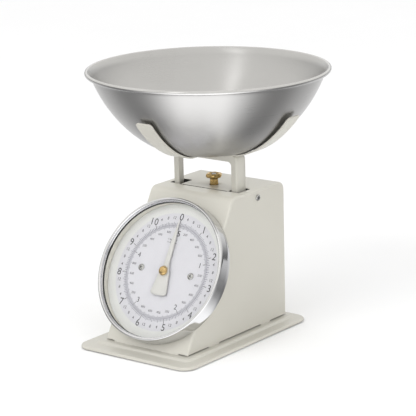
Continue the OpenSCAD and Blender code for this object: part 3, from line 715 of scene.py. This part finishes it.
numeral(small, "5 kg x 20 g", -3.0, 33.6, 1.7, PRINT)
numeral(small, "11 lb x 1 oz", -3.0, 30.6, 1.7, PRINT)
for k in range(POUNDS * 16):
    long = k % 16 == 0
    end = 54.2 if long else (52.4 if k % 4 == 0 else 51.5)
    tick(figures if long else marks, 360 / (POUNDS * 16) * k, 49.2, end, 0.55, PRINT)
for k in range(KILOS * 50):
    long = k % 50 == 0
    end = 44.3 if long else (45.6 if k % 5 == 0 else 46.5)
    tick(figures if long else marks, 360 / (KILOS * 50) * k, end, 48.8, 0.55 if long else 0.46, PRINT - 0.03)
piece("dial_figures", figures, dark_ink, "base", "dial_face", matrix=DIAL, sharp=30)
piece("dial_small_figures", small, mid_ink, "base", "dial_face", matrix=DIAL, sharp=30)
piece("dial_marks", joined([(marks, moved()), (circle_band(48.85, 49.15, PRINT + 0.045), moved())]), grey_ink,
      "base", "dial_face", matrix=DIAL, sharp=30)

# ---------- pointer ----------


def half_width(v):
    """Half width of the pointer blade at v along it."""
    table = ((-25, 5.8), (-24.7, 7.4), (-24.2, 8.5), (-23.4, 9.3), (-22, 9.8), (0, 5.9), (4, 4.2), (8, 2.95),
             (33, 2.2), (54, 0.32), (55, 0.1))
    for (v0, w0), (v1, w1) in zip(table, table[1:]):
        if v <= v1:
            return w0 + (w1 - w0) * (v - v0) / (v1 - v0)
    return 0.1


def pointer_rows():
    """Cross-sections of the blade, an open channel, from its tail to its tip."""
    loops = []
    for v in (-25, -24.7, -24.2, -23.4, -22, -18, -12, -6, 0, 2, 4, 6, 8, 16, 24, 33, 40, 47, 51, 54, 55):
        w = half_width(v)
        end = min(1.0, (v + 25.0) / 1.6)
        fade = min(1.0, w / 2.2)
        top, skirt = 6.1 + 0.75 * fade * (0.35 + 0.65 * end), 6.0 - 0.75 * fade
        outer = [(-w, skirt), (-w, top - 0.5 * fade), (-w + 0.12 * fade, top - 0.22 * fade),
                 (-w + 0.45 * fade, top - 0.04 * fade), (-w * 0.55, top), (0, top + 0.05 * fade),
                 (w * 0.55, top), (w - 0.45 * fade, top - 0.04 * fade), (w - 0.12 * fade, top - 0.22 * fade),
                 (w, top - 0.5 * fade), (w, skirt)]
        t = 0.5 * fade
        inner = [(w - t, skirt), (w - t, top - 0.6 * fade), (0, top - 0.6 * fade), (-w + t, top - 0.6 * fade),
                 (-w + t, skirt)]
        loops.append([(x, v, z) for x, z in outer + inner])
    return loops


hub = lathe(fillet([(1.6, 5.6, 0), (4.2, 5.6, 0.2), (4.6, 6.0, 0.2), (4.6, 7.05, 0.35), (3.9, 7.4, 0.2),
                    (1.6, 7.4, 0)]), 48)
piece("pointer_blade", joined([(loft(pointer_rows()), moved()), (hub, moved())]), pointer_paint, "indicator",
      "pointer_paint", "pointer", matrix=DIAL, sharp=50)
cap = [(1.0, 7.4), (4.4, 7.4), (4.7, 7.6), (4.7, 8.1), (5.0, 8.3), (5.0, 8.75), (4.9, 9.15), (4.5, 9.9),
       (3.8, 10.5), (2.9, 10.95), (1.8, 11.2), (0.8, 11.3), (0, 11.3), (0, 8.6), (1.0, 8.6)]
piece("pointer_cap", lathe(cap, 56), brass, "indicator", "brass", "pointer_nut", matrix=DIAL)

# ---------- springs ----------

BEAM_Z, HANG_Z, COIL_R, COIL_LOW, COIL_TOP, TURNS, PER_TURN = 40, 136, 6.5, 58, 116, 18, 16


def spring_line():
    """Centre line of a spring: a straight tail, the coil and another tail."""
    n, bend = TURNS * PER_TURN, 6
    line = [(0, 0, BEAM_Z - 2)]
    for k in range(-bend, n + bend + 1):
        u = min(max(k, 0), n)
        r = COIL_R * (1 - abs(k - u) / bend)
        a = 2 * pi * k / PER_TURN
        line.append((r * cos(a), r * sin(a), COIL_LOW + (COIL_TOP - COIL_LOW) * u / n + (k - u) / 3))
    return line + [(0, 0, HANG_Z - 6)]


def wire(line, r, sides=8):
    """Round wire of radius r along a line of points."""
    points = [Vector(p) for p in line]
    side = Vector((1, 0, 0))
    loops = []
    for i, p in enumerate(points):
        d = (points[min(i + 1, len(points) - 1)] - points[max(i - 1, 0)]).normalized()
        side = (side - d * side.dot(d)).normalized()
        turns = [2 * pi * j / sides for j in range(sides)]
        loops.append([p + (side * cos(t) + d.cross(side) * sin(t)) * r for t in turns])
    return loft(loops)


ends = lathe([(0, BEAM_Z - 3.2), (2.1, BEAM_Z - 3.2), (2.1, BEAM_Z - 1.2), (0, BEAM_Z - 1.2)], 24)
pins = lathe([(0, HANG_Z - 10.5), (1.05, HANG_Z - 10.5), (1.05, HANG_Z), (2.1, HANG_Z), (2.1, HANG_Z + 1.6),
              (0, HANG_Z + 1.6)], 24)
spots = [moved(x, SCREW_Y) for x in (-16, 16)]
coils = joined([(bm, m) for m in spots for bm in (wire(spring_line(), 0.8), ends)])
piece("spring_coils", coils, spring_wire, ("base", "carriage", (0, 0.012, 0.118), (0, 0.012, 0.056)),
      "spring_wire")
piece("spring_pins", joined([(pins, m) for m in spots]), spring_wire, "hanger", "spring_wire", "spring_left",
      "spring_right")

# ---------- zero knob ----------


def knob_shape(a, r, z):
    """Six lobes on the head and fourteen flutes on the neck."""
    if z > 157 and r > 5:
        return r * (1 + 0.06 * cos(6 * a) - 0.06)
    if 149.8 < z <= 156.9 and r > 4.0:
        return r - 0.55 * (0.5 - 0.5 * cos(14 * a)) ** 0.7
    return r


knob = [(2.55, 149.4), (3.7, 149.4), (4.1, 149.7), (4.3, 150.2), (4.3, 151), (4.3, 154), (4.3, 156.2),
        (4.2, 156.8), (4.35, 157.3), (5.2, 157.6), (7.0, 158.0), (8.1, 158.5), (8.6, 159.2), (8.7, 160.2),
        (8.6, 161.2), (8.2, 161.8), (7.5, 162.15), (6.6, 162.3), (5.6, 162.2), (4.8, 161.8), (4.3, 161.2),
        (3.4, 161.0), (2.55, 161.0)]
thumbwheel = piece("zero_thumbwheel", lathe(knob, 144, knob_shape), brass, "zero_knob", "brass", "zero_knob",
                   matrix=moved(0, SCREW_Y, 0), sharp=55)

# ---------- cradle ----------


def cradle_loops():
    """Cross-sections of the cradle's bent channel, from one foot over the top to the other.

    Each station is the outer and the inner edge of the front flange, as X and Z."""
    half = [((40.4, z), (33.5, z)) for z in (26, 60, 120, 150, 172, 176.5)]
    half += [((34.4 + 6 * cos(radians(a)), 182 + 6 * sin(radians(a))),
              (29.2 + 4.3 * cos(radians(a)), 176.5 + 4.3 * sin(radians(a)))) for a in (11.25, 22.5, 33.75, 45,
                                                                                      56.25, 67.5, 78.75)]
    half += [((34.4, 188), (29.2, 180.8)), ((20, 188), (20, 180.8))]
    stations = half + [((-p[0], p[1]), (-q[0], q[1])) for p, q in half[::-1]]
    y0, y1, t, r = -3.2, 12.1, 1.2, 1.5
    loops = []
    for p, q in stations:
        p, q = Vector(p), Vector(q)
        length = (q - p).length
        d = (q - p) / length
        line = [(0, y1 - 0.25), (0, y0 + r + 1.2)]
        line += [(r * (1 - cos(radians(a))), y0 + r * (1 - sin(radians(a)))) for a in (0, 22.5, 45, 67.5, 90)]
        line += [(r + 1.2, y0), (length - 0.9, y0), (length - 0.25, y0), (length, y0 + 0.25),
                 (length, y0 + t - 0.25), (length - 0.25, y0 + t), (t + 1.0, y0 + t), (t + 0.3, y0 + t + 0.1),
                 (t, y0 + t + 0.5), (t, y0 + t + 1.5), (t, y1 - 0.25), (t - 0.25, y1), (0.25, y1)]
        loops.append([(p.x + d.x * s, y, p.y + d.y * s) for s, y in line])
    return loops


cradle = piece("pressed_cradle", loft(cradle_loops()), enamel, "carriage", "enamel", "cradle", sharp=45)


def bowl_point(t):
    """Outside of the bowl at t from 0 at the bottom to 1 at the equator: radius and height."""
    return 37 + 90 * sin(pi / 2 * t) ** 1.22, 309.7 - 120.2 * cos(pi / 2 * t) ** 1.09


def bowl_normal(t):
    """Direction out of the bowl's wall at t."""
    a, b = bowl_point(max(t - 0.012, 0)), bowl_point(t + 0.012)
    length = hypot(b[0] - a[0], b[1] - a[1])
    return (b[1] - a[1]) / length, -(b[0] - a[0]) / length


def arm_line():
    """Top of an arm: distance out from the middle and height."""
    out = [(10, ARM_TOP), (14, ARM_TOP), (24, ARM_TOP), (34, ARM_TOP), (39, ARM_TOP), (41.5, ARM_TOP + 0.02)]
    for i in [4 + 0.75 * k for k in range(25)]:
        (x, z), (nx, nz) = bowl_point(i * BOWL_END / 30), bowl_normal(i * BOWL_END / 30)
        gap = 0.5 + 2.6 * (i / 22) ** 2
        out.append((x + nx * gap, z + nz * gap))
    return out


def arms():
    """The cross of four arms as one closed sheet, each with a rounded tip."""
    line = arm_line()
    far = [0.0]
    for (x0, z0), (x1, z1) in zip(line, line[1:]):
        far.append(far[-1] + hypot(x1 - x0, z1 - z0))
    wide = (-1, -0.96, -0.85, -0.5, 0, 0.5, 0.85, 0.96, 1)
    tip_r = 3.6

    def at(d):
        """Point of the line at distance d along it."""
        i = max(k for k in range(len(far)) if far[k] <= d + 1e-9)
        i = min(i, len(far) - 2)
        f = (d - far[i]) / (far[i + 1] - far[i])
        return [line[i][k] + (line[i + 1][k] - line[i][k]) * f for k in (0, 1)]

    stops = [d for d in far if d < far[-1] - tip_r - 0.5]
    stops += [far[-1] - tip_r * (1 - sin(radians(a))) for a in (0, 18, 36, 54, 72, 90)]
    rows = []
    for d in stops:
        x, z = at(d)
        near = max(0.0, d - (far[-1] - tip_r))
        half = 10 - tip_r + sqrt(max(tip_r ** 2 - near ** 2, 0.0))
        rows.append([(x, w * half, z) for w in wide])
    grid = sheet(rows)
    middle = sheet([[(10 * u, 10 * w, ARM_TOP) for w in wide] for u in wide])
    bm = joined([(grid, moved(0, BOWL_Y, 0, "Z", 90 * k)) for k in range(4)] + [(middle, moved(0, BOWL_Y))])
    bmesh.ops.remove_doubles(bm, verts=bm.verts, dist=1e-3)
    bmesh.ops.recalc_face_normals(bm, faces=bm.faces)
    if sum(f.normal.z * f.calc_area() for f in bm.faces) < 0:
        bmesh.ops.reverse_faces(bm, faces=bm.faces)
    return thickened(as_object("arms", bm), 1.5, 0.35)


piece("bowl_arms", arms(), enamel, "carriage", "enamel", "cradle_arms", sharp=45)

# ---------- bowl ----------


def bowl_profile():
    """Closed profile of the bowl's wall and its rolled bead."""
    wall, n = 0.7, 54
    outer = [bowl_point(BOWL_END * k / n) for k in range(n)]
    inner = []
    for k in range(n, 0, -1):
        t = BOWL_END * k / n
        (r, z), (a, b) = bowl_point(t), bowl_normal(t)
        inner.append((r - a * wall, z - b * wall))
    bead = arc(122.8, 271.1, 2.2, 205, 490, 22)
    return ([(0, 189.5), (20, 189.5), (34, 189.5)] + outer + bead + inner[1:]
            + [(36.5, 190.2), (20, 190.2), (0, 190.2)])


bowl = piece("spun_bowl", lathe(bowl_profile(), 256), steel_bowl, "bowl", "bowl_steel", "bowl",
             matrix=moved(0, BOWL_Y), sharp=70)
RIM_R, RIM_Z = 120.75, 268.6                # the bead is outside this radius and above this height
repaint(bowl, rim_polish, lambda at, normal: hypot(at.x, at.y - BOWL_Y) > RIM_R and at.z > RIM_Z)

# ---------- studio ----------

GROUND_RADIUS = 14                          # metres


def heading_of(degrees):
    """Level direction that many degrees to the right of the camera, seen from the scale."""
    return Vector((sin(AZ + radians(degrees)), -cos(AZ + radians(degrees)), 0))


TO_CAM = heading_of(0)


def tone_by_side(add, direction, stops, front):
    """Grey by how far a level direction points towards front, from 0 behind to 1 in front."""
    level = add("VectorMath", {"operation": "MULTIPLY"}, i0=direction, i1=(1, 1, 0)).outputs[0]
    unit = add("VectorMath", {"operation": "NORMALIZE"}, i0=level).outputs[0]
    dot = add("VectorMath", {"operation": "DOT_PRODUCT"}, i0=unit, i1=front).outputs["Value"]
    at = add("MapRange", Value=dot, From_Min=-1.0, From_Max=1.0, To_Min=0.0, To_Max=1.0).outputs[0]
    return ramp(add, at, greys(stops))


# What shiny surfaces see round the scale, and on the ground: stops of tone_by_side.
WALLS = ((0.0, 0.95), (0.07, 0.8), (0.3, 0.3), (0.52, 0.2), (0.72, 0.42), (0.88, 0.8), (0.97, 1.0))
GROUND = ((0.0, 0.95), (0.07, 0.85), (0.3, 0.6), (0.5, 0.3), (0.66, 0.3), (0.78, 0.55), (0.87, 1.05),
          (0.96, 1.7))

world = bpy.data.worlds.new("studio")
scene.world = world
world.use_nodes = True
tree = world.node_tree
world_add = node_adder(tree)
heading = world_add("TexCoord").outputs["Generated"]
shiny = tone_by_side(world_add, heading, WALLS, TO_CAM)
height = world_add("SeparateXYZ", Vector=heading).outputs[2]
overhead = world_add("MapRange", {"interpolation_type": "SMOOTHSTEP"}, Value=height, From_Min=0.02,
                     From_Max=0.36, To_Min=0.0, To_Max=1.0).outputs[0]
shiny = world_add("MixRGB", Fac=overhead, Color1=shiny, Color2=(1.06, 1.05, 1.015, 1)).outputs[0]
horizon = ramp(world_add, height, greys(((0.0, 0.35), (0.05, 0.4), (0.13, 1.0))))
shiny = world_add("MixRGB", {"blend_type": "MULTIPLY"}, Fac=1.0, Color1=shiny, Color2=horizon).outputs[0]


def first_gloss(add):
    """1 for a shiny bounce that no matt bounce came before."""
    path = add("LightPath")
    early = add("Math", {"operation": "LESS_THAN"}, i0=path.outputs["Diffuse Depth"], i1=0.5).outputs[0]
    return add("Math", {"operation": "MULTIPLY"}, i0=path.outputs["Is Glossy Ray"], i1=early).outputs[0]


is_gloss = first_gloss(world_add)
sky = world_add("MixRGB", Fac=is_gloss, Color1=(1.0, 1.0, 1.0, 1), Color2=shiny).outputs[0]
tree.links.new(sky, tree.nodes["Background"].inputs["Color"])

floor_mat, floor_bsdf, floor_add, floor_link = shader("studio_floor")
on_floor = floor_add("TexCoord").outputs["Object"]
floor_noise = floor_add("TexNoise", Vector=on_floor, Scale=3, Detail=3).outputs[0]
floor_link(ramp(floor_add, floor_noise, ((0.3, (0.955, 0.955, 0.955)), (0.7, (0.97, 0.97, 0.97)))),
           floor_bsdf.inputs["Base Color"])
floor_bsdf.inputs["Roughness"].default_value = 0.9
floor_bsdf.inputs["Specular IOR Level"].default_value = 0.1

# The card gives shiny surfaces a toned ground, and nothing else sees it.
card_mat, _, card_add, card_link = shader("studio_card")
on_card = card_add("TexCoord").outputs["Object"]
reach = card_add("VectorMath", {"operation": "LENGTH"}, i0=on_card).outputs["Value"]
away = ramp(card_add, reach, greys(((0.17, 0.8), (0.25, 1.05))))
glow = card_add("Emission", Color=tone_by_side(card_add, on_card, GROUND, heading_of(-6)), Strength=away)
seen = card_add("MixShader", Fac=first_gloss(card_add), i1=card_add("BsdfTransparent").outputs[0],
                i2=glow.outputs[0])
card_link(seen.outputs[0], card_mat.node_tree.nodes["Material Output"].inputs["Surface"])
for name, z, material in (("studio_floor", 0.0, floor_mat), ("studio_card", 0.0003, card_mat)):
    bm = bmesh.new()
    bmesh.ops.create_circle(bm, cap_ends=True, radius=GROUND_RADIUS, segments=96,
                            matrix=Matrix.Translation((0, 0, z)))
    ground = as_object(name, bm)
    ground.data.materials.append(material)
ground.visible_camera = ground.visible_diffuse = ground.visible_shadow = ground.visible_transmission = False


def lamp(name, at, aim, size, power, gloss=True):
    """A soft round lamp. Without gloss it shows in no reflection."""
    light = bpy.data.lights.new(name, "AREA")
    light.shape, light.size, light.energy = "DISK", size, power
    obj = bpy.data.objects.new(name, light)
    scene.collection.objects.link(obj)
    obj.location = at
    obj.rotation_euler = (Vector(aim) - Vector(at)).to_track_quat("-Z", "Y").to_euler()
    obj.visible_glossy = gloss
    return obj


lamp("key", TO_CAM * 1.1 - across * 1.0 + Vector((0, 0, 1.5)), (0, 0, 0.12), 0.9, 10, gloss=False)
strip = lamp("strip", heading_of(-38) * 1.2 + Vector((0, 0, 1.7)), (0, 0, 0.2), 0.3, 1.0)
strip.data.shape, strip.data.size_y = "RECTANGLE", 1.0
strip.visible_diffuse = False
top_fill = lamp("top_fill", (0, 0, 1.3), (0, 0, 0.15), 0.7, 4, gloss=False)
lit, shading = bpy.data.collections.new("lit_by_top_fill"), bpy.data.collections.new("shading_top_fill")
for target in (front, rear):
    lit.objects.link(target)
for target in (cradle, thumbwheel):
    shading.objects.link(target)
top_fill.light_linking.receiver_collection = lit
top_fill.light_linking.blocker_collection = shading
lamp("low_fill", TO_CAM * 1.6 + across * 0.7 + Vector((0, 0, 0.35)), (0, 0, 0.15), 1.0, 5, gloss=False)
